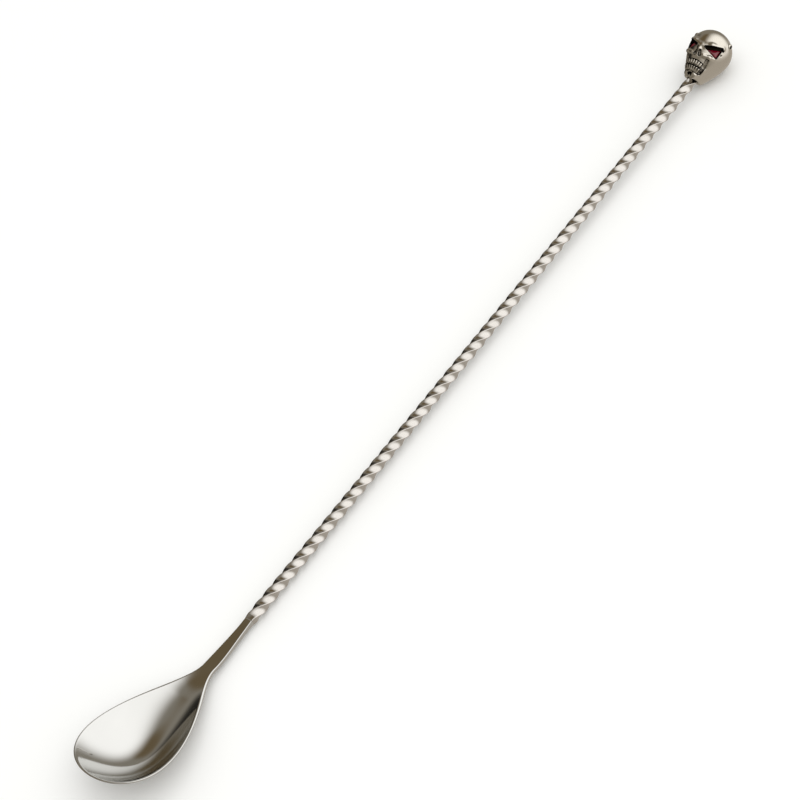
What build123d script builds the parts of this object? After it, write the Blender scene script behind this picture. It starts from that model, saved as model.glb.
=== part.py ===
from build123d import *

import os
from math import cos, hypot, pi, radians, sin, sqrt

# Bar spoon: a teardrop bowl on a flat neck, welded to a twisted square bar that carries a cast skull.
# The pieces are drawn along the bar: x = 0 is the start of the twist, +X runs up the bar to the skull,
# +Z is the side on which the bowl is open and to which the skull faces. The finished spoon is then laid
# on the plane z = 0, on the underside of its bowl and the back of its skull. All lengths are millimetres.

# ---- driving dimensions -------------------------------------------------------------------------------

# bar
bar_size = 3.0            # across the flats of the square bar
bar_edge_radius = 0.25    # rounding along its four edges
twist_lead = 19.8         # one full turn of the bar, right-handed
twist_length = 243.7      # from the weld to the skull's chin

# bowl: the rim rises from the neck to the tip, the hollow is a parabola across every section
bowl_length = 50.0        # rim, from the tip to the neck
bowl_width = 29.0         # rim, at its widest
bowl_depth = 9.0          # below the rim, at its widest place
bowl_wall = 1.25          # upright thickness of the wall
bowl_tip_rise = 13.6      # the rim's tip above its start
bowl_rim_slope = 0.14     # slope of the rim where it leaves the neck
outline_power = 2.3       # how quickly the outline narrows towards the neck
rim_edge_radius = 0.25    # rounding of the rim's and the neck's long edges
rim_edge_limit = 0.2      # but no more than this share of the wall
wall_grows_from = 0.5     # share of the bowl's length from which its wall grows to the neck's thickness
hollow_fades_from = 0.75  # share of the bowl's length from which the hollow fades out

# neck
neck_length = 18.9
neck_waist_width = 2.7    # at the weld
neck_waist_height = 2.0
neck_root_width = 4.4     # at the bowl
neck_root_height = 1.5
neck_bend_power = 4       # the bend towards the bowl is drawn into the end of the neck

# weld between the neck and the bar, ground to a smooth taper
weld_length = 1.5
weld_edge_radius = 0.25

# tenon at the bar's upper end, and the socket that takes it
tenon_diameter = 2.6
tenon_length = 8.5
tenon_chamfer = 0.3
adhesive_gap = 0.15       # radial film between the tenon and its bore
bore_end_gap = 0.5        # air left beyond the tenon's end
seat_depth = 3.0          # recess in the chin that takes the bar's square end
seat_clearance = 0.15     # round the bar's edges

# skull
skull_height = 21.8       # from chin to crown
skull_width = 15.0
skull_depth = 16.0        # from the back of the head to the brow
skull_face_offset = 2.5   # the head's middle lies this far in front of the bar
skull_widest = 13.6       # height of its widest place above the chin
chin_width = 5.6
chin_depth = 6.4
chin_offset = 0.9         # the chin's middle lies this far in front of the bar

# eyes: each stone is an inverted rounded triangle, cemented to the floor of its own socket
stone_width = 6.0
stone_height = 3.3
stone_thickness = 1.7
stone_corner_radius = 0.45
stone_bevel = 0.35
stone_above_middle = 0.4  # this share of the stone's height lies above the eye's middle
stone_point_shift = 0.19  # the lower point lies this share of the width outward of the middle
stone_clearance = 0.08    # round the stone
cement_thickness = 0.2
eye_height = 10.3         # above the chin
eye_spacing = 7.5         # between the middles of the two stones
eye_depth = 7.2           # the stones' front faces, in front of the bar's axis
eye_turn = 22.0           # each eye looks outward by this angle
brow_slant = 30.0         # each stone's upper edge rises outward by this angle
socket_lip = 0.5          # the socket opens this much wider above the stone

# nose
nose_height = 2.0
nose_width = 2.4
nose_cut_depth = 3.5
nose_level = 5.6          # above the chin

# how closely curves are followed
surface_tolerance = 0.005
level_tolerance = 1e-4    # between the two places on which the spoon rests
overrun = 3.0             # surfaces and cutters run this far past what they trim
jaw_sections = 4
cranium_angles = (0, 20, 40, 60, 75)

# ---- values that follow -------------------------------------------------------------------------------

neck_start = -weld_length
root = neck_start - neck_length
tip = root - bowl_length
tenon_start = twist_length + seat_depth
tenon_radius = tenon_diameter / 2
bore_radius = tenon_radius + adhesive_gap
bar_edge_place = bar_size / 2 - bar_edge_radius
bar_corner_radius = hypot(bar_edge_place, bar_edge_place) + bar_edge_radius
seat_radius = bar_corner_radius + seat_clearance
outline_peak = (1 / (1 + outline_power)) * (outline_power / (1 + outline_power)) ** outline_power


def smooth(share):
    """A smooth step from 0 to 1."""
    share = min(max(share, 0.0), 1.0)
    return share * share * (3 - 2 * share)


def fade_in(share, start):
    """0 up to the start, then a smooth step to 1 at a share of 1."""
    return smooth((share - start) / (1 - start))


def on_bar(x, z=0.0):
    """A plane across the bar, its own x axis along the row's Y."""
    return Plane(origin=(x, 0, z), x_dir=(0, 1, 0), z_dir=(1, 0, 0))


def bar_cylinder(x_low, x_high, radius):
    """A cylinder on the bar's axis."""
    along = (Align.CENTER, Align.CENTER, Align.MIN)
    return on_bar(x_low) * Cylinder(radius, x_high - x_low, align=along)


# ---- bowl and neck ------------------------------------------------------------------------------------


def bowl_share(x):
    """0 at the bowl's tip, 1 where the bowl meets the neck."""
    return (x - tip) / bowl_length


def neck_share(x):
    """0 at the weld, 1 where the neck meets the bowl."""
    return (neck_start - x) / neck_length


def half_width_squared(x):
    """The outline: a teardrop that runs into the tapering neck."""
    if x >= root:
        waist, end = neck_waist_width / 2, neck_root_width / 2
        return (waist + (end - waist) * smooth(neck_share(x))) ** 2
    t = bowl_share(x)
    drop = (bowl_width / 2) ** 2 * t * (1 - t) ** outline_power / outline_peak
    return drop + (neck_root_width / 2) ** 2 * sin(pi * t / 2)


def thickness(x):
    """Upright thickness of the neck and of the bowl's wall."""
    if x >= root:
        return neck_waist_height + (neck_root_height - neck_waist_height) * smooth(neck_share(x))
    return bowl_wall + (neck_root_height - bowl_wall) * fade_in(bowl_share(x), wall_grows_from)


def rim_height(x):
    """Height of the neck's upper face, and from there of the bowl's rim."""
    bend = bowl_rim_slope * neck_length / neck_bend_power
    if x >= root:
        return bend * neck_share(x) ** neck_bend_power + thickness(x) / 2
    rise = 1 - bowl_share(x)
    start = bend + neck_root_height / 2
    straight = bowl_rim_slope * bowl_length
    return start + straight * rise + (bowl_tip_rise - straight) * rise**2


def top_height(x, y):
    """Upper face: flat on the neck, hollow in the bowl."""
    hollow = 1 - fade_in(bowl_share(x), hollow_fades_from)
    return rim_height(x) - hollow * bowl_depth * (half_width_squared(x) - y * y) / (bowl_width / 2) ** 2


def height_field(height, length_steps=64, width_steps=24):
    """A smooth face through height(x, y), somewhat larger than the bowl and neck."""
    x_low, x_high = tip - overrun, neck_start + overrun
    y_high = bowl_width / 2 + overrun
    rows = []
    for i in range(length_steps + 1):
        x = x_low + (x_high - x_low) * i / length_steps
        ys = [y_high * (2 * j / width_steps - 1) for j in range(width_steps + 1)]
        rows.append([Vector(x, y, height(min(x, neck_start), y)) for y in ys])
    return Face.make_surface_from_array_of_points(rows, tol=surface_tolerance)


def bowl_outline(steps=22):
    """Plan of the bowl and neck: one smooth side, mirrored."""
    side = []
    for i in range(steps):
        x = neck_start + (tip - neck_start) * (1 - (1 - i / steps) ** 2)
        side.append((x, sqrt(half_width_squared(x))))
    side.append((tip, 0))
    left = Spline(*side, tangents=[(-1, 0), (0, -1)])
    right = mirror(left, about=Plane.XZ)
    end = Line(left @ 0, right @ 0)
    return make_face(left.edges() + right.edges() + end.edges())


def make_bowl():
    """The outline, cut to the space between the upper face and the underside."""
    tall = 2 * (bowl_tip_rise + bowl_depth)
    blank = Pos(0, 0, -tall / 2) * extrude(bowl_outline(), amount=tall, dir=(0, 0, 1))
    below_top = extrude(height_field(top_height), amount=tall, dir=(0, 0, -1))
    above_underside = extrude(
        height_field(lambda x, y: top_height(x, y) - thickness(x)), amount=tall, dir=(0, 0, 1)
    )
    bowl = blank & below_top & above_underside
    rim_edges = [edge for edge in bowl.edges() if edge.length > bowl_length]
    return fillet(rim_edges, min(rim_edge_radius, rim_edge_limit * bowl_wall))


# ---- bar ----------------------------------------------------------------------------------------------


def bar_section():
    """The square bar, with its four edges rounded."""
    return RectangleRounded(bar_size, bar_size, bar_edge_radius).face()


def make_neck_weld():
    """Weld metal between the neck's end and the bar's end, ground to a taper."""
    neck_end = RectangleRounded(neck_waist_width, neck_waist_height, weld_edge_radius)
    return loft([on_bar(neck_start) * neck_end, on_bar(0) * bar_section()])


def make_twisted_shaft():
    """The twisted bar, whose upper end is turned down to a tenon."""
    length = twist_length + seat_depth
    upright = Solid.extrude_linear_with_rotation(
        bar_section(), (0, 0, 0), (0, 0, length), 360 * length / twist_lead
    )
    tenon = Pos(0, 0, length - tenon_chamfer) * Cylinder(
        tenon_radius, tenon_length + tenon_chamfer, align=(Align.CENTER, Align.CENTER, Align.MIN)
    )
    tenon = chamfer(tenon.faces().sort_by(Axis.Z)[-1].edges(), tenon_chamfer)
    return on_bar(0) * (upright + tenon)


# ---- skull --------------------------------------------------------------------------------------------


def stone_outline(margin=0.0):
    """An inverted triangle: level upper edge, point below, outward side at +x."""
    half, point = stone_width / 2, stone_point_shift * stone_width
    upper = stone_height * stone_above_middle
    triangle = Polygon((-half, upper), (half, upper), (point, upper - stone_height), align=None)
    sketch = fillet(triangle.vertices(), stone_corner_radius)
    return offset(sketch, margin) if margin else sketch


def eye_plane(side):
    """Front plane of a stone: side is -1 for the skull's own left eye, +1 for its right."""
    origin = Vector(twist_length + eye_height, side * eye_spacing / 2, eye_depth)
    outward = Vector(0, side, 0).rotate(Axis.X, -side * eye_turn)
    forward = Vector(0, 0, 1).rotate(Axis.X, -side * eye_turn)
    upper_edge = outward.rotate(Axis((0, 0, 0), forward), -side * brow_slant)
    return Plane(origin=origin, x_dir=upper_edge, z_dir=forward)


def eye_solid(side, margin, low, high):
    """The stone's outline, grown by margin, between two depths of its own plane."""
    sketch = stone_outline(margin)
    if side > 0:
        sketch = mirror(sketch, about=Plane.XZ)
    return eye_plane(side) * Pos(0, 0, low) * extrude(sketch, amount=high - low, dir=(0, 0, 1))


def make_stone(side):
    """A stone with a bevelled front."""
    plane = eye_plane(side)
    stone = eye_solid(side, 0.0, -stone_thickness, 0.0)
    front = stone.faces().sort_by(Axis(plane.origin, plane.z_dir))[-1]
    return chamfer(front.edges(), stone_bevel)


def make_cement(side):
    """The bed between the stone and the socket's floor."""
    return eye_solid(side, 0.0, -stone_thickness - cement_thickness, -stone_thickness)


def head_section(height, share):
    """An oval across the head: share is 0 for the chin's size, 1 for the head's full size."""
    width = chin_width + (skull_width - chin_width) * share
    depth = chin_depth + (skull_depth - chin_depth) * share
    middle = chin_offset + (skull_face_offset - chin_offset) * share
    return on_bar(twist_length + height, middle) * Ellipse(width / 2, depth / 2)


def cranium_section(angle):
    """An oval across the rounded upper part: 0 degrees at its widest, 90 at the crown."""
    height = skull_widest + (skull_height - skull_widest) * sin(radians(angle))
    oval = Ellipse(skull_width / 2 * cos(radians(angle)), skull_depth / 2 * cos(radians(angle)))
    return on_bar(twist_length + height, skull_face_offset) * oval


def make_skull():
    """The head, with its eye sockets, its nose and the seat and bore for the bar."""
    middle = skull_face_offset
    shares = [step / jaw_sections for step in range(jaw_sections)]
    jaw = [head_section(skull_widest * share, sin(pi / 2 * share)) for share in shares]
    cranium = [cranium_section(angle) for angle in cranium_angles]
    crown = Vertex(twist_length + skull_height, 0, middle)
    skull = loft(jaw + cranium + [crown])
    for side in (-1, 1):
        skull -= eye_solid(side, stone_clearance, -stone_thickness - cement_thickness, skull_depth)
        skull -= eye_solid(side, stone_clearance + socket_lip, 0.0, skull_depth)
    nose = Polygon((0, -nose_width / 2), (nose_height, 0), (0, nose_width / 2), align=None)
    nose_floor = Pos(twist_length + nose_level, 0, middle + skull_depth / 2 - nose_cut_depth)
    skull -= nose_floor * extrude(nose, amount=nose_cut_depth + overrun, dir=(0, 0, 1))
    skull -= bar_cylinder(twist_length - overrun, tenon_start, seat_radius)
    skull -= bar_cylinder(twist_length, tenon_start + tenon_length + bore_end_gap, bore_radius)
    return skull


def make_tenon_adhesive():
    """Film round the tenon, from the bar's shoulder to the start of the tenon's chamfer."""
    end = tenon_start + tenon_length - tenon_chamfer
    return bar_cylinder(tenon_start, end, bore_radius) - bar_cylinder(
        tenon_start - overrun, end + overrun, tenon_radius
    )


# ---- the spoon at rest --------------------------------------------------------------------------------


def lowest(piece, tilt):
    """How low a piece reaches once the spoon is tilted about the start of the twist."""
    return (Rot(0, tilt, 0) * piece).bounding_box().min.Z


def rest_tilt(bowl, skull, tries=12):
    """The tilt at which the bowl's underside and the back of the skull are level, by the secant method."""
    before, tilt = 0.0, 1.0
    gap_before = lowest(bowl, before) - lowest(skull, before)
    for _ in range(tries):
        gap = lowest(bowl, tilt) - lowest(skull, tilt)
        if abs(gap) < level_tolerance or gap == gap_before:
            break
        before, tilt, gap_before = tilt, tilt - gap * (tilt - before) / (gap - gap_before), gap
    return tilt


pieces = {
    "bowl": make_bowl(),
    "neck_weld": make_neck_weld(),
    "twisted_shaft": make_twisted_shaft(),
    "tenon_adhesive": make_tenon_adhesive(),
    "skull_finial": make_skull(),
    "left_eye_stone": make_stone(-1),
    "right_eye_stone": make_stone(1),
    "left_eye_cement": make_cement(-1),
    "right_eye_cement": make_cement(1),
}

tilt = rest_tilt(pieces["bowl"], pieces["skull_finial"])
tilted = {name: Rot(0, tilt, 0) * piece for name, piece in pieces.items()}
x_low = tilted["bowl"].bounding_box().min.X
x_high = tilted["skull_finial"].bounding_box().max.X
z_low = min(piece.bounding_box().min.Z for piece in tilted.values())
at_rest = Pos(-(x_low + x_high) / 2, 0, -z_low)

os.makedirs("parts", exist_ok=True)
for name, piece in tilted.items():
    placed = at_rest * piece
    box = placed.bounding_box()
    export_step(placed, f"parts/{name}.step")
    print(f"{name}: {placed.volume:.2f} mm3, from {box.min} to {box.max}")
print(f"length {x_high - x_low:.2f} mm, tilted by {tilt:.3f} degrees, bar axis {-z_low:.3f} mm up at the weld")
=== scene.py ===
"""A bar spoon: polished teardrop bowl, twisted square bar, cast skull with red glass eyes.

Every shape is drawn in the bar's own frame, in millimetres: x = 0 is the start of the twist, +x runs
up the bar to the skull, +z is the side on which the bowl is open. BarFrame lays that frame on the CAD
model.
"""

import logging
import math
from dataclasses import dataclass

import bpy
import numpy as np
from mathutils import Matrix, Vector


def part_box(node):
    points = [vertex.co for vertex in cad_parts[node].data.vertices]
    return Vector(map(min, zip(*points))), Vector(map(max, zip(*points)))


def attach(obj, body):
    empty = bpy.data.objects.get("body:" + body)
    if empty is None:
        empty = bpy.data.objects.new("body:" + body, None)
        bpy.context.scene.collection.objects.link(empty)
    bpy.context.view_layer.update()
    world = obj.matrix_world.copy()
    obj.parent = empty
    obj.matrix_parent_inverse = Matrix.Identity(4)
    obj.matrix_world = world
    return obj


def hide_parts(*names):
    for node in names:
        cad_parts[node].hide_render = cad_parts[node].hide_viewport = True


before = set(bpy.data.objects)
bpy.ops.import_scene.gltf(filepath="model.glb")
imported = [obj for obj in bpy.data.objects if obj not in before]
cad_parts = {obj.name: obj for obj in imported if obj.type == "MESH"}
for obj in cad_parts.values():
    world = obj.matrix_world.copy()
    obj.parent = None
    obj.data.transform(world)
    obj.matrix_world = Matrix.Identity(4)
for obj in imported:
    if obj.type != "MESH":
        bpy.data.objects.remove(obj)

import openvdb
from mathutils import Matrix, Vector

log = logging.getLogger("bar_spoon")
MM = 0.001
ROOT_BODY = "root"
Array = np.ndarray
Point = tuple[float, float, float]
BOTH_SIDES = (1, -1)


# ---- numbers and meshes ----


def linear(code: str) -> tuple[float, float, float, float]:
    """Turn an sRGB hex colour to linear RGBA.

    Args:
        code: six hex digits, with or without a leading #.

    Returns:
        Red, green, blue and an alpha of 1.
    """
    code = code.lstrip("#")
    channels = [int(code[i:i + 2], 16) / 255 for i in (0, 2, 4)]
    red, green, blue = (c / 12.92 if c <= 0.04045 else ((c + 0.055) / 1.055) ** 2.4 for c in channels)
    return red, green, blue, 1.0


def smooth_step(share: Array | float) -> Array:
    """Return a smooth step from 0 to 1 over a share from 0 to 1."""
    share = np.clip(share, 0.0, 1.0)
    return share * share * (3 - 2 * share)


def unit(vectors: Array) -> Array:
    """Return the vectors at a length of 1, along the last axis."""
    return vectors / np.linalg.norm(vectors, axis=-1, keepdims=True)


def box_middle(node: str) -> Array:
    """Return the middle of a CAD node's box, in millimetres."""
    low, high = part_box(node)
    return (np.array(low) + np.array(high)) / (2 * MM)


@dataclass(frozen=True)
class BarFrame:
    """Where the bar's frame lies in the row frame: its axis passes through the weld and the tenon."""

    origin: Array
    along: Array
    across: Array
    front: Array

    @classmethod
    def from_cad(cls, weld_length: float) -> "BarFrame":
        """Read the bar's axis from two CAD nodes that are centred on it.

        Args:
            weld_length: length of the weld, whose upper end is the start of the twist.

        Returns:
            The bar's frame.
        """
        weld, tenon = box_middle("neck_weld"), box_middle("tenon_adhesive")
        along = unit(tenon - weld)
        across = np.array([0.0, 1.0, 0.0])
        return cls(weld + along * weld_length / 2, along, across, np.cross(along, across))

    def to_row(self, points: Array) -> Array:
        """Turn points of the bar's frame, in millimetres, to row points in metres."""
        axes = np.stack([self.along, self.across, self.front])
        return (self.origin + points @ axes) * MM


def grid_faces(rows: int, columns: int, start: int = 0, closed: bool = False) -> list[tuple[int, ...]]:
    """List the quads of a grid of vertices that is stored row by row.

    Args:
        rows: number of rows.
        columns: vertices in a row.
        start: index of the grid's first vertex.
        closed: whether each row closes on itself.

    Returns:
        One tuple of four vertex indices for each face.
    """
    faces = []
    for i in range(rows - 1):
        for j in range(columns if closed else columns - 1):
            a, b = start + i * columns + j, start + i * columns + (j + 1) % columns
            faces.append((a, b, b + columns, a + columns))
    return faces


def make_piece(
    name: str, points: Array, faces: list[tuple[int, ...]], place: BarFrame
) -> bpy.types.Object:
    """Make a smooth-shaded mesh object from points of the bar's frame.

    Args:
        name: the object's name.
        points: vertices in millimetres.
        faces: vertex indices of each face.
        place: where the bar's frame lies.

    Returns:
        The new object, with its normals pointing outward.
    """
    mesh = bpy.data.meshes.new(name)
    mesh.from_pydata(place.to_row(np.asarray(points)).tolist(), [], faces)
    mesh.validate()
    mesh.shade_smooth()
    piece = bpy.data.objects.new(name, mesh)
    bpy.context.scene.collection.objects.link(piece)
    return piece


# ---- bowl and neck ----


@dataclass
class Bowl:
    """Pressed and forged bowl with its flat neck, as one continuous polished surface.

    The rim and the neck's edges are rounded superellipses: a squareness of 2 is a half circle.
    """

    length: float = 50.0
    width: float = 29.0
    depth: float = 9.0
    wall: float = 1.25
    tip_rise: float = 13.6
    rim_slope: float = 0.14
    outline_power: float = 2.3
    neck_length: float = 18.9
    waist_width: float = 2.7
    waist_height: float = 2.0
    root_width: float = 4.4
    root_height: float = 1.5
    bend_power: int = 4
    weld_length: float = 1.5
    weld_height: float = 2.5
    flare_length: float = 5.0
    neck_edge: float = 0.32
    neck_squareness: float = 3.2
    rim_squareness: float = 2.2
    rim_edge_share: float = 0.42
    rim_lean: float = 0.11
    wall_grows_from: float = 0.5
    hollow_fades_from: float = 0.75
    neck_edge_from: float = 0.86
    neck_edge_over: float = 0.2

    @property
    def start(self) -> float:
        """Return where the neck ends, at the weld."""
        return -self.weld_length

    @property
    def root(self) -> float:
        """Return where the neck meets the bowl."""
        return self.start - self.neck_length

    @property
    def tip(self) -> float:
        """Return where the bowl ends."""
        return self.root - self.length

    def shares(self, x: Array) -> tuple[Array, Array]:
        """Return the shares of the bowl, 0 at its tip, and of the neck, 0 at the weld."""
        return (x - self.tip) / self.length, (self.start - x) / self.neck_length

    def outline_squared(self, x: Array) -> Array:
        """Return the square of the outline's half width: a teardrop that runs into the neck."""
        bowl, neck = self.shares(x)
        power = self.outline_power
        peak = (1 / (1 + power)) * (power / (1 + power)) ** power
        drop = (self.width / 2) ** 2 * bowl * np.maximum(1 - bowl, 0) ** power / peak
        drop = drop + (self.root_width / 2) ** 2 * np.sin(np.pi * np.minimum(bowl, 1) / 2)
        waist, end = self.waist_width / 2, self.root_width / 2
        return np.where(bowl >= 1, (waist + (end - waist) * smooth_step(neck)) ** 2, drop)

    def thickness(self, x: Array) -> Array:
        """Return the upright thickness of the neck and of the bowl's wall."""
        bowl, neck = self.shares(x)
        on_neck = self.waist_height + (self.root_height - self.waist_height) * smooth_step(neck)
        flare = np.clip(1 - (self.start - x) / self.flare_length, 0, 1) ** 2
        on_neck = on_neck + (self.weld_height - self.waist_height) * flare
        grown = smooth_step((bowl - self.wall_grows_from) / (1 - self.wall_grows_from))
        on_bowl = self.wall + (self.root_height - self.wall) * grown
        return np.where(bowl >= 1, on_neck, on_bowl)

    def rim_height(self, x: Array) -> Array:
        """Return the height of the neck's upper face, and from there of the rim."""
        bowl, neck = self.shares(x)
        bend = self.rim_slope * self.neck_length / self.bend_power
        on_neck = bend * np.clip(neck, 0, 1) ** self.bend_power + self.thickness(x) / 2
        rise, straight = 1 - bowl, self.rim_slope * self.length
        on_bowl = bend + self.root_height / 2 + straight * rise + (self.tip_rise - straight) * rise**2
        return np.where(bowl >= 1, on_neck, on_bowl)

    def middle_height(self, x: Array, y: Array) -> Array:
        """Return the height of the surface midway between the upper face and the underside."""
        bowl, _ = self.shares(x)
        faded = smooth_step((bowl - self.hollow_fades_from) / (1 - self.hollow_fades_from))
        hollow = (1 - faded) * self.depth / (self.width / 2) ** 2
        return self.rim_height(x) - hollow * (self.outline_squared(x) - y * y) - self.thickness(x) / 2

    def stations(self, bowl_steps: int = 190, neck_steps: int = 70) -> Array:
        """Return the places along the bar at which the surface is drawn, closer together at the tip."""
        bowl = self.tip + self.length * np.linspace(0.0, 1.0, bowl_steps + 1)[1:] ** 2
        return np.concatenate([bowl, np.linspace(self.root, self.start, neck_steps + 1)[1:]])

    def across(self, half_width: Array, edge: Array, edge_steps: int = 9, steps: int = 34) -> Array:
        """Spread points over each section, closer together in its rounded edges.

        Args:
            half_width: half width of each section.
            edge: reach of the rounded edge.
            edge_steps: points in the edge.
            steps: points from the edge to the middle.

        Returns:
            One row of y for each section, from one edge of the outline to the other.
        """
        edge = np.minimum(edge, half_width / 2)[:, None]
        near = edge * (1 - np.cos(np.pi / 2 * np.arange(edge_steps) / edge_steps))[None]
        far = edge + (half_width[:, None] - edge) * (np.arange(steps + 1) / steps)[None]
        inward = half_width[:, None] - np.concatenate([near, far], axis=1)
        return np.concatenate([-inward, inward[:, -2::-1]], axis=1)

    def build(self, place: BarFrame) -> bpy.types.Object:
        """Make the bowl and neck.

        Args:
            place: where the bar's frame lies.

        Returns:
            The piece.
        """
        small = 0.01  # step in millimetres over which a slope is measured
        xs = self.stations()
        bowl, _ = self.shares(xs)
        on_neck = smooth_step((bowl - self.neck_edge_from) / self.neck_edge_over)
        half = np.sqrt(self.outline_squared(xs))
        slope_x = (self.outline_squared(xs + small) - self.outline_squared(xs - small)) / (2 * small)
        thick = self.thickness(xs)
        rim_edge = self.rim_edge_share * self.wall
        edge = rim_edge + (self.neck_edge - rim_edge) * on_neck
        square = self.rim_squareness + (self.neck_squareness - self.rim_squareness) * on_neck
        y = self.across(half, edge)
        x = np.repeat(xs[:, None], y.shape[1], axis=1)
        z = self.middle_height(x, y)
        z_x = (self.middle_height(x + small, y) - self.middle_height(x - small, y)) / (2 * small)
        z_y = (self.middle_height(x, y + small) - self.middle_height(x, y - small)) / (2 * small)
        normal = unit(np.stack([-z_x, -z_y, np.ones_like(z)], axis=-1))
        inside = np.maximum(half[:, None] ** 2 - y * y, 0)
        distance = inside / np.sqrt(slope_x[:, None] ** 2 + 4 * y * y + 1e-9)
        reach = np.clip(distance / edge[:, None], 0, 1)
        rounding = (1 - (1 - reach) ** square[:, None]) ** (1 / square[:, None])
        offset = normal * (thick[:, None] * normal[..., 2] * rounding / 2)[..., None]
        # the rim leans outward as the wall does, so the whole bowl is drawn in by the width of that lean
        shorter = 1 - self.rim_lean / self.length
        drawn_in = np.where(x < self.root, self.root + (x - self.root) * shorter, x)
        middle = np.stack([drawn_in, y * (1 - 2 * self.rim_lean / self.width), z], axis=-1)
        upper, lower = middle + offset, (middle - offset)[:, 1:-1]
        return self.join(upper, lower, place)

    def join(self, upper: Array, lower: Array, place: BarFrame) -> bpy.types.Object:
        """Join the upper face and the underside along the outline, and close the tip and the neck's end.

        Args:
            upper: rows of points of the upper face, whose first and last are on the outline.
            lower: rows of points of the underside, without the outline.
            place: where the bar's frame lies.

        Returns:
            The piece.
        """
        rows, columns = upper.shape[:2]
        under = lower.shape[1]
        loops = np.concatenate([upper, lower[:, ::-1]], axis=1)
        size = columns + under
        tip_height = self.middle_height(np.array(self.tip), np.array(0.0))
        tip_point = np.array([[self.tip + self.rim_lean, 0.0, tip_height]])
        points = np.concatenate([loops.reshape(-1, 3), tip_point])
        faces = [tuple(reversed(face)) for face in grid_faces(rows, size, closed=True)]
        tip_index = rows * size
        faces += [(tip_index, (j + 1) % size, j) for j in range(size)]
        faces.append(tuple((rows - 1) * size + j for j in range(size)))
        return make_piece("bowl_polished", points, [face[::-1] for face in faces], place)


# ---- bar ----


@dataclass
class TwistedBar:
    """Square bar, twisted along its whole length, and the weld that joins it to the neck."""

    size: float = 3.0
    edge_radius: float = 0.25
    lead: float = 19.8
    length: float = 243.7
    seat_depth: float = 3.0
    tenon_radius: float = 1.3
    tenon_length: float = 8.5
    tenon_chamfer: float = 0.3
    hollow: float = 0.03
    ease_end: float = 2.0
    weld_length: float = 1.5
    ring_spacing: float = 0.3
    edge_steps: int = 6
    face_steps: int = 8
    weld_rings: int = 14
    sharp_from: float = 50.0

    def turn(self, x: Array) -> Array:
        """Return the bar's turn at x, in radians: it eases in over the weld and then keeps its lead."""
        rate = 2 * np.pi / self.lead
        span = self.ease_end + self.weld_length
        share = np.clip((x + self.weld_length) / span, 0, 1)
        ease = rate * (self.ease_end * (3 * share**2 - 2 * share**3) + span * (share**3 - share**2))
        return np.where(x >= self.ease_end, rate * x, ease)

    def section(self, width: float, height: float, radius: float, hollow: float) -> Array:
        """Draw a rectangle with round corners and slightly hollow sides.

        Args:
            width: size across.
            height: size towards the front.
            radius: radius of the corners.
            hollow: how far the middle of each side lies in.

        Returns:
            One (y, z) pair for each point, all the way round.
        """
        points = []
        for corner in range(4):
            angle = corner * np.pi / 2
            sign_y, sign_z = [(1, 1), (-1, 1), (-1, -1), (1, -1)][corner]
            centre = np.array([sign_y * (width / 2 - radius), sign_z * (height / 2 - radius)])
            for step in range(self.edge_steps + 1):
                a = angle + np.pi / 2 * step / self.edge_steps
                points.append(centre + radius * np.array([np.cos(a), np.sin(a)]))
            along = [(-1, 0), (0, -1), (1, 0), (0, 1)][corner]
            run = (width if corner % 2 == 0 else height) - 2 * radius
            inward = -np.array([np.cos(angle + np.pi / 2), np.sin(angle + np.pi / 2)])
            for step in range(1, self.face_steps):
                share = step / self.face_steps
                sag = hollow * np.sin(np.pi * share) ** 2
                points.append(points[-step] + run * share * np.array(along) + sag * inward)
        return np.array(points)

    def rings(self, xs: Array, sections: Array) -> Array:
        """Place one section at each x, turned as the bar is there.

        Args:
            xs: places along the bar.
            sections: one outline for each place.

        Returns:
            Points, ring by ring.
        """
        turn = self.turn(xs)[:, None]
        y = sections[..., 0] * np.cos(turn) - sections[..., 1] * np.sin(turn)
        z = sections[..., 0] * np.sin(turn) + sections[..., 1] * np.cos(turn)
        return np.stack([np.repeat(xs[:, None], y.shape[1], axis=1), y, z], axis=-1)

    def solid(self, name: str, rings: Array, place: BarFrame) -> bpy.types.Object:
        """Make a closed piece from rings, with a face at each end."""
        count, size = rings.shape[:2]
        faces = grid_faces(count, size, closed=True)
        faces.append(tuple(range(size))[::-1])
        faces.append(tuple((count - 1) * size + j for j in range(size)))
        piece = make_piece(name, rings.reshape(-1, 3), [face[::-1] for face in faces], place)
        piece.data.set_sharp_from_angle(angle=math.radians(self.sharp_from))
        return piece

    def build(self, place: BarFrame) -> bpy.types.Object:
        """Make the bar, from the weld to its seat in the skull, with the turned tenon beyond it."""
        end = self.length + self.seat_depth
        xs = np.linspace(0.0, end, int(end / self.ring_spacing) + 1)
        section = self.section(self.size, self.size, self.edge_radius, self.hollow)
        tip_radius = self.tenon_radius - self.tenon_chamfer
        tenon_xs = end + np.array([0.0, self.tenon_length - self.tenon_chamfer, self.tenon_length])
        tenon_radii = np.array([self.tenon_radius, self.tenon_radius, tip_radius])
        tenon = unit(section)[None] * tenon_radii[:, None, None]
        sections = np.concatenate([np.repeat(section[None], len(xs), axis=0), tenon])
        turns = np.minimum(np.concatenate([xs, tenon_xs]), end)
        rings = self.rings(turns, sections)
        rings[len(xs):, :, 0] = tenon_xs[:, None]
        return self.solid("bar_twisted", rings, place)

    def build_weld(self, bowl: Bowl, place: BarFrame) -> bpy.types.Object:
        """Make the ground weld, a taper from the neck's end to the bar's end."""
        xs = np.linspace(-self.weld_length, 0.0, self.weld_rings)
        neck = self.section(bowl.waist_width, bowl.weld_height, self.edge_radius, 0.0)
        bar = self.section(self.size, self.size, self.edge_radius, self.hollow)
        share = ((xs + self.weld_length) / self.weld_length)[:, None, None]
        return self.solid("weld_ground", self.rings(xs, neck + (bar - neck) * share), place)


# ---- sculpting ----


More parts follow.
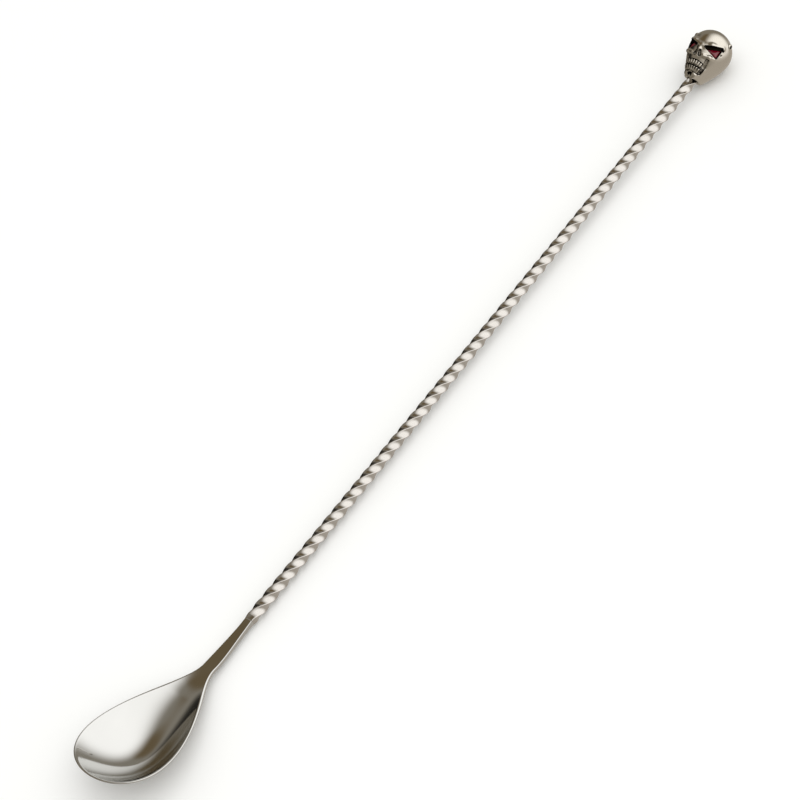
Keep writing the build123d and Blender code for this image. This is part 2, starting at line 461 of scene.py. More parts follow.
@dataclass(frozen=True)
class Oval:
    """An ellipsoid, turned so that its radii lie along the rows of axes."""

    middle: Point
    radii: Point
    axes: Array | None = None

    def box(self) -> tuple[Array, Array]:
        """Return the lowest and highest corners of a box that holds it."""
        return np.array(self.middle) - max(self.radii), np.array(self.middle) + max(self.radii)

    def distance(self, points: Array) -> Array:
        """Return each point's distance from the surface, less than 0 inside."""
        local = points - np.array(self.middle, dtype=np.float32)
        if self.axes is not None:
            local = local @ self.axes.T.astype(np.float32)
        radii = np.array(self.radii, dtype=np.float32)
        local = local / radii
        size = np.linalg.norm(local, axis=-1)
        return size * (size - 1) / np.maximum(np.linalg.norm(local / radii, axis=-1), 1e-6)


@dataclass(frozen=True)
class Rod:
    """A rod with round ends, whose radius changes evenly from its start to its end."""

    start: Point
    end: Point
    start_radius: float
    end_radius: float

    def box(self) -> tuple[Array, Array]:
        """Return the lowest and highest corners of a box that holds it."""
        ends, radius = np.array([self.start, self.end]), max(self.start_radius, self.end_radius)
        return ends.min(axis=0) - radius, ends.max(axis=0) + radius

    def distance(self, points: Array) -> Array:
        """Return each point's distance from the surface, less than 0 inside."""
        start = np.array(self.start, dtype=np.float32)
        run = np.subtract(self.end, self.start).astype(np.float32)
        local = points - start
        share = np.clip(local @ run / (run @ run), 0, 1)
        radius = self.start_radius + (self.end_radius - self.start_radius) * share
        return np.linalg.norm(local - share[..., None] * run, axis=-1) - radius


@dataclass(frozen=True)
class Block:
    """A box with round edges, turned so that its half sizes lie along the rows of axes."""

    middle: Point
    half: Point
    radius: float
    axes: Array

    def box(self) -> tuple[Array, Array]:
        """Return the lowest and highest corners of a box that holds it."""
        reach = float(np.linalg.norm(self.half))
        return np.array(self.middle) - reach, np.array(self.middle) + reach

    def distance(self, points: Array) -> Array:
        """Return each point's distance from the surface, less than 0 inside."""
        local = (points - np.array(self.middle, dtype=np.float32)) @ self.axes.T.astype(np.float32)
        beyond = np.abs(local) - (np.array(self.half, dtype=np.float32) - self.radius)
        outside = np.linalg.norm(np.maximum(beyond, 0), axis=-1)
        return outside + np.minimum(beyond.max(axis=-1), 0) - self.radius


@dataclass(frozen=True)
class Setting:
    """The hole that a stone sits in: a triangle with straight walls, flared above the stone."""

    corners: tuple[tuple[float, float], ...]
    middle: Point
    axes: Array
    gap: float
    flare: float
    floor: float
    top: float
    reach: float

    def box(self) -> tuple[Array, Array]:
        """Return the lowest and highest corners of a box that holds it."""
        return np.array(self.middle) - self.reach, np.array(self.middle) + self.reach

    def distance(self, points: Array) -> Array:
        """Return each point's distance from the surface, less than 0 inside."""
        local = (points - np.array(self.middle, dtype=np.float32)) @ self.axes.T.astype(np.float32)
        flat, depth = local[..., :2], local[..., 2]
        corners = np.array(self.corners, dtype=np.float32)
        nearest = np.full(depth.shape, np.inf, dtype=np.float32)
        inside = np.full(depth.shape, True)
        for here, after in zip(corners, np.roll(corners, -1, axis=0)):
            side, offset = after - here, flat - here
            share = np.clip(offset @ side / (side @ side), 0, 1)
            nearest = np.minimum(nearest, np.linalg.norm(offset - share[..., None] * side, axis=-1))
            inside &= side[0] * offset[..., 1] - side[1] * offset[..., 0] < 0
        outline = np.where(inside, -nearest, nearest) - self.gap - self.flare * np.maximum(depth, 0)
        return np.maximum(outline, np.maximum(self.floor - depth, depth - self.top))


Form = Oval | Rod | Block | Setting


@dataclass(frozen=True)
class Feature:
    """One form that stands out from the head or is cut into it, on both sides unless it is central."""

    form: Form
    blend: float
    cut: bool = False
    central: bool = False


class Sculpt:
    """A form held as distances on a grid: shapes are added to it and cut from it, then it is skinned."""

    # how far out, in millimetres, a recess is felt for, and how much each distance counts
    RECESS_PROBES = ((0.5, 0.3), (1.0, 0.3), (1.8, 0.3), (3.0, 0.3))

    def __init__(self, low: Point, high: Point, step: float) -> None:
        """Make an empty grid.

        Args:
            low: lowest corner, in millimetres.
            high: highest corner.
            step: spacing of the grid.
        """
        self.low, self.step = np.array(low), step
        axes = [np.arange(a, b, step, dtype=np.float32) for a, b in zip(low, high)]
        self.points = np.stack(np.meshgrid(*axes, indexing="ij"), axis=-1)
        self.value = np.full(self.points.shape[:3], 10.0, dtype=np.float32)

    def settle(self) -> None:
        """Turn a value that is 0 on the surface to a distance, close to the surface."""
        slopes = np.gradient(self.value, self.step)
        self.value /= np.maximum(np.sqrt(sum(slope * slope for slope in slopes)), 0.02)

    def work(self, form: Form, blend: float, sides: tuple[int, ...], cut: bool) -> None:
        """Add or cut one form.

        Args:
            form: the form.
            blend: how far the two surfaces run into each other.
            sides: 1 for the form as given, -1 for its mirror image.
            cut: whether the form is cut away.
        """
        for side in sides:
            low, high = form.box()
            if side < 0:
                low, high = np.array([low[0], -high[1], low[2]]), np.array([high[0], -low[1], high[2]])
            margin = 1.2 + blend
            first = np.maximum(np.floor((low - margin - self.low) / self.step).astype(int), 0)
            last = np.maximum(np.ceil((high + margin - self.low) / self.step).astype(int), 0)
            block = tuple(slice(a, b) for a, b in zip(first, last))
            old = self.value[block]
            new = form.distance(self.points[block] * np.array([1, side, 1], dtype=np.float32))
            old = -old if cut else old
            share = np.clip(0.5 + 0.5 * (new - old) / blend, 0, 1)
            mixed = new + (old - new) * share - blend * share * (1 - share)
            self.value[block] = -mixed if cut else mixed

    def add(self, form: Form, blend: float, sides: tuple[int, ...] = (1,)) -> None:
        """Add one form."""
        self.work(form, blend, sides, cut=False)

    def cut(self, form: Form, blend: float, sides: tuple[int, ...] = (1,)) -> None:
        """Cut one form away."""
        self.work(form, blend, sides, cut=True)

    def carve(self, features: tuple[Feature, ...]) -> None:
        """Add and cut several features in order."""
        for feature in features:
            sides = (1,) if feature.central else BOTH_SIDES
            self.work(feature.form, feature.blend, sides, feature.cut)

    def sample(self, grid: Array, points: Array) -> Array:
        """Read a grid between its points, evenly weighted from the eight around each place."""
        place = (points - self.low) / self.step
        last = np.array(grid.shape[:3]) - 2
        base = np.clip(np.floor(place).astype(int), 0, last)
        share = np.clip(place - base, 0, 1)
        total = 0.0
        for corner in np.ndindex(2, 2, 2):
            weight = np.prod(np.where(corner, share, 1 - share), axis=-1)
            index = base + corner
            read = grid[index[:, 0], index[:, 1], index[:, 2]]
            total = total + (read * weight if read.ndim == 1 else read * weight[:, None])
        return total

    def skin(self, passes: int = 4) -> tuple[Array, list[tuple[int, ...]], Array, Array]:
        """Lay quads on the surface and draw them exactly onto it.

        Args:
            passes: how often each vertex is drawn to the surface.

        Returns:
            Vertices, faces, the surface's normals, and from 0 to 1 how deep in a recess each vertex is.
        """
        grid = openvdb.FloatGrid()
        grid.background = 10.0
        grid.copyFromArray(self.value)
        places, quads = grid.convertToQuads(isovalue=0.0)
        points = places.astype(float) * self.step + self.low
        slopes = np.stack(np.gradient(self.value, self.step), axis=-1)
        for _ in range(passes):
            slope = self.sample(slopes, points)
            steep = np.maximum((slope * slope).sum(axis=-1, keepdims=True), 0.1)
            points = points - slope * self.sample(self.value, points)[:, None] / steep
        normals = unit(self.sample(slopes, points))
        recess = np.zeros(len(points))
        high = self.low + self.step * (np.array(self.value.shape) - 1)
        for reach, weight in self.RECESS_PROBES:
            probes = points + normals * reach
            in_grid = ((probes > self.low) & (probes < high)).all(axis=-1)
            recess += weight * in_grid * np.clip(1 - self.sample(self.value, probes) / reach, 0, 1)
        return points, [tuple(int(i) for i in quad) for quad in quads], normals, recess


# ---- skull ----


@dataclass(frozen=True)
class ToothRow:
    """One row of teeth, on an arc about a point between the jaws."""

    count: int
    pitch: float
    level: float
    half_height: float
    radius: float
    middle: float
    lean: float
    setback: float

    def place(self, turn: float, out: float) -> Point:
        """Return the place at an angle in radians round the arc, that far out from its middle."""
        return self.level, math.sin(turn) * out, self.middle + math.cos(turn) * out


# Features of the face, in the head's own millimetres: x from the chin to the crown, y across and z to
# the front.
RELIEF = (
    # brows
    Feature(Rod((9.6, 0.7, 9.7), (10.9, 3.4, 9.3), 0.5, 0.65), 1.3),
    Feature(Rod((10.9, 3.4, 9.3), (13.0, 5.8, 7.0), 0.65, 0.45), 1.3),
    # cheekbones
    Feature(Rod((6.7, 2.2, 8.2), (7.3, 4.1, 7.3), 0.5, 0.7), 0.6),
    Feature(Rod((7.3, 4.1, 7.3), (8.4, 5.2, 6.0), 0.7, 0.45), 0.6),
    # jaws, and the two bosses of the chin
    Feature(Oval((4.2, 0.0, 3.5), (2.3, 3.7, 3.8)), 0.7, central=True),
    Feature(Oval((1.4, 1.25, 3.5), (1.2, 1.15, 1.3)), 0.5),
)
CARVING = (
    # nasal bone, and the nasal opening with its thin wall between the halves
    Feature(Rod((10.0, 0.0, 9.6), (8.0, 0.0, 9.5), 0.6, 0.65), 0.6, central=True),
    Feature(Rod((7.7, 0.5, 9.3), (6.4, 0.85, 8.5), 0.35, 0.6), 0.2, cut=True),
    # hollows behind the jaw
    Feature(Rod((6.2, 3.9, 6.6), (4.3, 3.6, 5.2), 0.7, 0.8), 0.3, cut=True),
    Feature(Rod((4.3, 3.6, 5.2), (2.4, 2.8, 3.5), 0.8, 0.35), 0.3, cut=True),
    # ringed pit of the temple, and the two pits by the outer corner of the eye
    Feature(Oval((16.0, 6.45, 5.4), (1.15, 0.9, 1.15)), 0.3),
    Feature(Oval((16.0, 7.2, 5.6), (0.6, 0.9, 0.6)), 0.15, cut=True),
    Feature(Oval((12.5, 6.3, 6.6), (0.45, 0.8, 0.45)), 0.15, cut=True),
    Feature(Oval((10.9, 6.7, 5.9), (0.4, 0.7, 0.4)), 0.15, cut=True),
)
CHIN = (
    # the hollow of the chin, with a boss in it
    Feature(Oval((0.9, 0.0, 4.2), (0.55, 0.85, 0.9)), 0.2, cut=True, central=True),
    Feature(Oval((0.85, 0.0, 3.5), (0.3, 0.35, 0.5)), 0.15, central=True),
)


@dataclass
class Skull:
    """Cast skull: a smooth cranium with a face carved in its front, and two red glass eyes.

    The face's own axes are millimetres from the chin: x to the crown, y across, z to the front.
    """

    chin: float = 243.7
    height: float = 20.8
    half_width: float = 7.5
    half_depth: float = 8.0
    middle: float = 2.5
    widest: float = 13.6
    chin_half_width: float = 2.4
    chin_half_depth: float = 2.5
    chin_middle: float = 0.2
    width_power: float = 1.3
    depth_power: float = 0.78
    crown_power: float = 2.0
    chin_round: float = 0.4
    nape_start: float = 1.7
    nape_tilt: float = 26.0
    bore_radius: float = 1.45
    bore_end: float = 12.0
    seat_radius: float = 2.06
    seat_depth: float = 3.0
    eye_height: float = 10.3
    eye_spacing: float = 7.5
    eye_depth: float = 7.2
    eye_turn: float = 22.0
    brow_slant: float = 30.0
    stone_width: float = 6.0
    stone_height: float = 3.3
    stone_above_middle: float = 0.4
    stone_point_shift: float = 0.19
    stone_thickness: float = 1.7
    stone_corner: float = 0.45
    stone_crown: float = 0.55
    stone_crown_power: float = 2.6
    stone_inner_share: float = 0.72
    stone_sharpness: float = 3.0
    stone_tip_share: float = 0.06
    stone_back_share: float = 0.9
    stone_rings: int = 16
    cement: float = 0.2
    tooth_rows: tuple[ToothRow, ...] = (
        ToothRow(7, 0.88, 4.05, 0.75, 4.0, 3.1, 26.0, 0.2),
        ToothRow(7, 0.8, 2.4, 0.95, 3.5, 2.3, 36.0, 0.2),
    )
    mouth_turns: tuple[float, ...] = (-45, -22, 0, 22, 45)
    mouth_half_step: float = 1.1
    mouth_half_depth: float = 0.75
    mouth_round: float = 0.3
    gum_gap: float = 0.12
    tooth_half_depth: float = 0.6
    tooth_round: float = 0.34
    tooth_gap: float = 0.03
    tooth_blend: float = 0.05
    brow_overhang: float = 27.0
    stain_reach: float = 0.35
    lowest: Point = (-0.6, -8.2, -6.1)
    highest: Point = (22.4, 8.2, 12.2)
    step: float = 0.1

    @property
    def eye_axes(self) -> Array:
        """Return the axes of the eye on the +y side: along its upper edge, up, and forward."""
        turn, slant = math.radians(self.eye_turn), math.radians(self.brow_slant)
        outward = np.array([0.0, math.cos(turn), -math.sin(turn)])
        forward = np.array([0.0, math.sin(turn), math.cos(turn)])
        up = np.array([1.0, 0.0, 0.0])
        along = math.cos(slant) * outward + math.sin(slant) * up
        return np.stack([along, math.cos(slant) * up - math.sin(slant) * outward, forward])

    @property
    def eye_middle(self) -> Array:
        """Return the middle of the front of the stone on the +y side."""
        return np.array([self.eye_height, self.eye_spacing / 2, self.eye_depth])

    @property
    def stone_corners(self) -> tuple[tuple[float, float], ...]:
        """Return the stone's three corners before they are rounded: inner, outer and lower."""
        half, upper = self.stone_width / 2, self.stone_height * self.stone_above_middle
        point = self.stone_point_shift * self.stone_width
        return (-half, upper), (half, upper), (point, upper - self.stone_height)

    @property
    def eye_hollow(self) -> Setting:
        """Return the hollow above the stone on the +y side, which opens downward under the brow."""
        along, up, forward = self.eye_axes
        tilt = math.radians(self.brow_overhang)
        raised = math.cos(tilt) * up + math.sin(tilt) * forward
        axes = np.stack([along, raised, math.cos(tilt) * forward - math.sin(tilt) * up])
        return Setting(
            self.stone_corners, tuple(self.eye_middle), axes,
            gap=0.25, flare=0.05, floor=-0.1, top=6.5, reach=8.0,
        )

    def head(self, sculpt: Sculpt) -> None:
        """Fill the sculpt with the smooth head: ovals that narrow to the chin, domed to the crown."""
        x, y, z = np.moveaxis(sculpt.points, -1, 0)
        low = np.clip(x / self.widest, 0, 1)
        wide = np.sin(np.pi / 2 * low**self.width_power)
        deep = np.sin(np.pi / 2 * low**self.depth_power)
        across = self.chin_half_width + (self.half_width - self.chin_half_width) * wide
        front = self.chin_half_depth + (self.half_depth - self.chin_half_depth) * deep
        middle = self.chin_middle + (self.middle - self.chin_middle) * deep
        oval = np.sqrt((y / across) ** 2 + ((z - middle) / front) ** 2)
        dome = np.maximum((x - self.widest) / (self.height - self.widest), 0)
        power = self.crown_power
        sculpt.value = ((oval**power + dome**power) ** (1 / power) - 1).astype(np.float32)
        sculpt.settle()
        beneath = Block((-5.0, 0.0, 0.0), (5.0, 30.0, 30.0), 0.01, np.eye(3))
        sculpt.cut(beneath, self.chin_round)
        tilt = math.radians(self.nape_tilt)
        down = np.array([math.cos(tilt), 0.0, math.sin(tilt)])
        nape = np.array([self.nape_start, 0.0, 0.0]) - down * 5.0
        axes = np.stack([down, np.array([0.0, 1.0, 0.0]), np.array([-down[2], 0.0, down[0]])])
        sculpt.cut(Block(tuple(nape.tolist()), (5.0, 30.0, 30.0), 0.01, axes), self.chin_round)

    def face(self, sculpt: Sculpt) -> None:
        """Carve the face."""
        sculpt.carve(RELIEF)
        # the eye sockets, from under the brows down to the stones, and the holes that hold the stones
        sculpt.cut(self.eye_hollow, 0.2, BOTH_SIDES)
        floor = -self.stone_thickness - self.cement
        setting = Setting(
            self.stone_corners, tuple(self.eye_middle), self.eye_axes,
            gap=0.1, flare=0.2, floor=floor, top=0.1, reach=4.5,
        )
        sculpt.cut(setting, 0.12, BOTH_SIDES)
        sculpt.carve(CARVING)

    def jaw_axes(self, turn: float, lean: float) -> Array:
        """Return the axes of a place on the jaw: up the tooth, along the row, and outward.

        Args:
            turn: angle round the jaw from its middle, in radians.
            lean: how far the tooth leans back from upright, in radians.
        """
        outward = np.array([0.0, math.sin(turn), math.cos(turn)])
        along = np.array([0.0, math.cos(turn), -math.sin(turn)])
        up = np.array([1.0, 0.0, 0.0])
        raised = math.cos(lean) * up + math.sin(lean) * outward
        return np.stack([raised, along, math.cos(lean) * outward - math.sin(lean) * up])

    def mouth(self, sculpt: Sculpt) -> None:
        """Cut the mouth and set two rows of teeth in it."""
        for row in self.tooth_rows:
            lean = math.radians(row.lean)
            half = (row.half_height + self.gum_gap, self.mouth_half_step, self.mouth_half_depth)
            for turn in np.radians(self.mouth_turns):
                axes = self.jaw_axes(float(turn), lean)
                place = row.place(turn, row.radius)
                sculpt.cut(Block(place, half, self.mouth_round, axes), self.gum_gap)
        for row in self.tooth_rows:
            for tooth in range(row.count):
                turn = (tooth - (row.count - 1) / 2) * row.pitch / row.radius
                axes = self.jaw_axes(turn, math.radians(row.lean))
                place = row.place(turn, row.radius - row.setback)
                half = (row.half_height, row.pitch / 2 - self.tooth_gap, self.tooth_half_depth)
                sculpt.add(Block(place, half, self.tooth_round, axes), self.tooth_blend)
        sculpt.carve(CHIN)

    def socket(self, sculpt: Sculpt) -> None:
        """Cut the seat and the bore for the bar."""
        for radius, end in ((self.seat_radius, self.seat_depth), (self.bore_radius, self.bore_end)):
            reach = sculpt.points[..., 1] ** 2 + sculpt.points[..., 2] ** 2
            tube = np.maximum(np.sqrt(reach) - radius, sculpt.points[..., 0] - end)
            sculpt.value = np.maximum(sculpt.value, -tube)

    def build(self, place: BarFrame) -> bpy.types.Object:
        """Sculpt and skin the skull."""
        sculpt = Sculpt(self.lowest, self.highest, self.step)
        self.head(sculpt)
        self.face(sculpt)
        self.mouth(sculpt)
        self.socket(sculpt)
        points, faces, normals, recess = sculpt.skin()
        for side in BOTH_SIDES:
            beyond = self.eye_hollow.distance(points * np.array([1, side, 1])) / self.stain_reach
            recess = np.maximum(recess, 1 - smooth_step(beyond))
        points[:, 0] += self.chin
        piece = make_piece("skull_cast", points, faces, place)
        mesh = piece.data
        log.info("skull: %d vertices, %d normals", len(mesh.vertices), len(normals))
        facing = unit(place.to_row(normals) - place.to_row(np.zeros(3)))
        mesh.normals_split_custom_set_from_vertices(facing.tolist())
        recesses = mesh.attributes.new("recess", "FLOAT", "POINT")
        recesses.data.foreach_set("value", recess.astype(np.float32))
        return piece

    def build_stone(
        self, side: int, name: str, place: BarFrame, around: int = 96
    ) -> bpy.types.Object:
        """Make one stone: a rounded triangle with a low polished crown.

        Args:
            side: 1 for the stone on the +y side, -1 for the other.
            name: the piece's name.
            place: where the bar's frame lies.
            around: points round the outline.

        Returns:
            The piece.
        """
        corners = np.array(self.stone_corners)
        inner = corners.mean(axis=0) + (corners - corners.mean(axis=0)) * self.stone_inner_share
        angles = np.linspace(0, 2 * np.pi, around, endpoint=False)
        toward = np.stack([np.cos(angles), np.sin(angles)], axis=-1)
        sharp = np.exp(toward @ inner.T * self.stone_sharpness)
        blend = (sharp[..., None] * inner[None]).sum(axis=1) / sharp.sum(axis=1)[:, None]
        outline = blend + toward * self.stone_corner
        middle = outline.mean(axis=0)
        rings = []
        for share in np.linspace(self.stone_tip_share, 1.0, self.stone_rings):
            drop = 1 - np.sqrt(np.maximum(1 - share**self.stone_crown_power, 0))
            height = np.full(around, -self.stone_crown * drop)
            rings.append(np.column_stack([middle + (outline - middle) * share, height]))
        back = np.full(around, -self.stone_thickness)
        rings.append(np.column_stack([outline, back]))
        rings.append(np.column_stack([middle + (outline - middle) * self.stone_back_share, back]))
        local = np.concatenate(rings + [np.array([[*middle, 0.0]])])
        points = self.eye_middle + local @ self.eye_axes
        points[:, 0] += self.chin
        points[:, 1] *= side
        count = len(rings)
        faces = grid_faces(count, around, closed=True)
        tip = count * around
        faces += [(tip, (j + 1) % around, j) for j in range(around)]
        faces.append(tuple((count - 1) * around + j for j in range(around)))
        if side < 0:
            faces = [face[::-1] for face in faces]
        return make_piece(name, points, faces, place)


# ---- finishes ----


def set_inputs(
    tree: bpy.types.NodeTree, node: bpy.types.Node, inputs: dict[str | int, object]
) -> None:
    """Give a node's inputs, each by name or index, a value or the output socket that feeds it."""
    for key, value in inputs.items():
        if isinstance(value, bpy.types.NodeSocket):
            tree.links.new(value, node.inputs[key])
        else:
            node.inputs[key].default_value = value


def add_node(
    tree: bpy.types.NodeTree, kind: str, inputs: dict[str | int, object] | None = None,
    **settings: object,
) -> bpy.types.Node:
    """Add one shader node with its settings, values and links.

    Args:
        tree: the node tree.
        kind: the node's type.
        inputs: for each input socket, by name or index, a value or the output socket that feeds it.
        settings: the node's own properties.

    Returns:
        The node.
    """
    node = tree.nodes.new(kind)
    for key, value in settings.items():
        setattr(node, key, value)
    set_inputs(tree, node, inputs or {})
    return node


def start_material(name: str) -> tuple[bpy.types.Material, bpy.types.NodeTree, bpy.types.Node]:
    """Start a material and return it with its node tree and its shader."""
    material = bpy.data.materials.new(name)
    material.use_nodes = True
    return material, material.node_tree, material.node_tree.nodes["Principled BSDF"]


def add_noise(
    tree: bpy.types.NodeTree, place: bpy.types.NodeSocket, size_mm: float, detail: float = 2.0
) -> bpy.types.NodeSocket:
    """Add noise whose largest features are about size_mm across."""
    scale = 1 / (size_mm * MM)
    noise = add_node(tree, "ShaderNodeTexNoise", {"Vector": place, "Scale": scale, "Detail": detail})
    return noise.outputs["Fac"]


def add_blend(
    tree: bpy.types.NodeTree, share: bpy.types.NodeSocket, first: object, second: object
) -> bpy.types.NodeSocket:
    """Blend two colours, from the first at a share of 0 to the second at 1."""
    mix = add_node(tree, "ShaderNodeMix", {0: share, 6: first, 7: second}, data_type="RGBA")
    return mix.outputs[2]


def add_bump(
    tree: bpy.types.NodeTree, height: bpy.types.NodeSocket, depth_mm: float
) -> bpy.types.NodeSocket:
    """Turn a height from 0 to 1 to a relief of depth_mm."""
    inputs = {"Height": height, "Strength": 1.0, "Distance": depth_mm * MM}
    return add_node(tree, "ShaderNodeBump", inputs).outputs["Normal"]


@dataclass(frozen=True)
class PolishedSteel:
    """18/8 stainless steel, buffed: clean reflections, softened a little along the buffing lines.

    The lines lie along the spoon. They are drawn coarser than the real grit leaves them, so that they
    show.
    """

    name: str
    colour: str
    roughness: float
    roughness_spread: float
    line_spacing_mm: float
    line_length_mm: float
    line_depth_mm: float
    line_detail: float = 3.0
    haze_mm: float = 9.0
    haze_shade: float = 0.93
    rough_from: float = 0.12
    rough_to: float = 0.42

    def build(self) -> bpy.types.Material:
        """Make the material."""
        material, tree, shader = start_material(self.name)
        place = add_node(tree, "ShaderNodeTexCoord").outputs["Object"]
        across, along = 1 / (self.line_spacing_mm * MM), 1 / (self.line_length_mm * MM)
        lines = add_node(tree, "ShaderNodeMapping", {"Vector": place, "Scale": (along, across, across)})
        drawn = {"Vector": lines.outputs[0], "Scale": 1.0, "Detail": self.line_detail}
        buffing = add_node(tree, "ShaderNodeTexNoise", drawn).outputs["Fac"]
        # handling leaves a broad, faint haze on the polish
        haze = add_noise(tree, place, self.haze_mm)
        mixed = add_node(tree, "ShaderNodeMath", {0: buffing, 1: haze}, operation="MULTIPLY")
        rough = add_node(
            tree, "ShaderNodeMapRange",
            {
                "Value": mixed.outputs[0], "From Min": self.rough_from, "From Max": self.rough_to,
                "To Min": self.roughness, "To Max": self.roughness + self.roughness_spread,
            },
        )
        base = linear(self.colour)
        hazed = tuple(self.haze_shade * c for c in base[:3]) + (1.0,)
        set_inputs(tree, shader, {
            "Metallic": 1.0,
            "Base Color": add_blend(tree, haze, base, hazed),
            "Roughness": rough.outputs["Result"],
            "Normal": add_bump(tree, buffing, self.line_depth_mm),
        })
        return material


# mirror polish on the bowl: the room shows in it with soft but unbroken edges
BOWL_STEEL = PolishedSteel("stainless_steel_mirror_polished", "#D9D9D7", 0.06, 0.05, 0.5, 14.0, 0.0009)
# the bar is drawn and then buffed: its facets are a little softer than the bowl
BAR_STEEL = PolishedSteel("stainless_steel_drawn_and_buffed", "#D6D2CD", 0.11, 0.08, 0.3, 9.0, 0.0012)
# the weld is ground flush with a finer belt: a slightly duller band
WELD_STEEL = PolishedSteel("stainless_steel_weld_ground_flush", "#D2CEC9", 0.1, 0.08, 0.22, 3.0, 0.0012)


@dataclass(frozen=True)
class AntiquedCasting:
    """Zinc casting with a nickel-silver finish: dark patina in its recesses, high places buffed bright."""

    name: str = "zinc_alloy_cast_antiqued_and_buffed"
    bright: str = "#D6D0C5"
    patina: str = "#1F1A14"
    bright_roughness: float = 0.13
    patina_roughness: float = 0.5
    patina_from: float = 0.22
    patina_to: float = 0.62
    grain_mm: float = 0.5
    grain_detail: float = 4.0
    grain_share: float = 0.6
    pit_mm: float = 0.8
    pit_detail: float = 5.0
    pit_depth_mm: float = 0.012

    def build(self) -> bpy.types.Material:
        """Make the material."""
        material, tree, shader = start_material(self.name)
        place = add_node(tree, "ShaderNodeTexCoord").outputs["Object"]
        grain = add_noise(tree, place, self.grain_mm, self.grain_detail)
        recess = add_node(tree, "ShaderNodeAttribute", attribute_name="recess").outputs["Fac"]
        # the grain breaks up the patina's edge: it is centred on 0 and then added to the recess
        centred = {0: grain, 1: self.grain_share, 2: -self.grain_share / 2}
        uneven = add_node(tree, "ShaderNodeMath", centred, operation="MULTIPLY_ADD")
        deep = add_node(tree, "ShaderNodeMath", {0: recess, 1: uneven.outputs[0]}, operation="ADD")
        share = add_node(
            tree, "ShaderNodeMapRange",
            {"Value": deep.outputs[0], "From Min": self.patina_from, "From Max": self.patina_to},
            interpolation_type="SMOOTHSTEP",
        ).outputs["Result"]
        rough = add_node(
            tree, "ShaderNodeMix", {0: share, 2: self.bright_roughness, 3: self.patina_roughness}
        )
        pits = add_noise(tree, place, self.pit_mm, self.pit_detail)
        set_inputs(tree, shader, {
            "Metallic": 1.0,
            "Base Color": add_blend(tree, share, linear(self.bright), linear(self.patina)),
            "Roughness": rough.outputs[0],
            "Normal": add_bump(tree, pits, self.pit_depth_mm),
        })
        return material


@dataclass(frozen=True)
class RedGlass:
    """Dark red pressed glass on a foil back: a wet shine over a deep colour."""

    name: str = "red_glass_pressed_foil_backed"
    deep: str = "#38020D"
    glow: str = "#8E0F27"
    cloud_mm: float = 2.4
    roughness: float = 0.06
    index: float = 1.54
    coat: float = 0.6
    coat_roughness: float = 0.03

    def build(self) -> bpy.types.Material:
        """Make the material."""
        material, tree, shader = start_material(self.name)
        place = add_node(tree, "ShaderNodeTexCoord").outputs["Object"]
        cloud = add_noise(tree, place, self.cloud_mm)
        set_inputs(tree, shader, {
            "Base Color": add_blend(tree, cloud, linear(self.deep), linear(self.glow)),
            "Roughness": self.roughness,
            "IOR": self.index,
            "Coat Weight": self.coat,
            "Coat Roughness": self.coat_roughness,
        })
        return material


@dataclass(frozen=True)
class Epoxy:
    """Filled two-part epoxy, cured in the joint: dull, dark grey and slightly mottled by its filler."""

    name: str = "epoxy_adhesive_cured"
    light: str = "#4B4844"
    dark: str = "#37342F"
    mottle_mm: float = 0.6
    roughness: float = 0.5

    def build(self) -> bpy.types.Material:
        """Make the material."""
        material, tree, shader = start_material(self.name)
        place = add_node(tree, "ShaderNodeTexCoord").outputs["Object"]
        mottle = add_noise(tree, place, self.mottle_mm)
        set_inputs(tree, shader, {
            "Base Color": add_blend(tree, mottle, linear(self.dark), linear(self.light)),
            "Roughness": self.roughness,
        })
        return material


# ---- studio ----


@dataclass(frozen=True)
class Patch:
    """One soft-edged area of the room's walls and ceiling."""

    colour: str
    strength: float
    azimuth: float
    elevation: float
    edge: float
    core: float

    def toward(self) -> tuple[float, float, float]:
        """Return the direction of the area's middle."""
        azimuth, elevation = math.radians(self.azimuth), math.radians(self.elevation)
        level = math.cos(elevation)
        return level * math.cos(azimuth), level * math.sin(azimuth), math.sin(elevation)


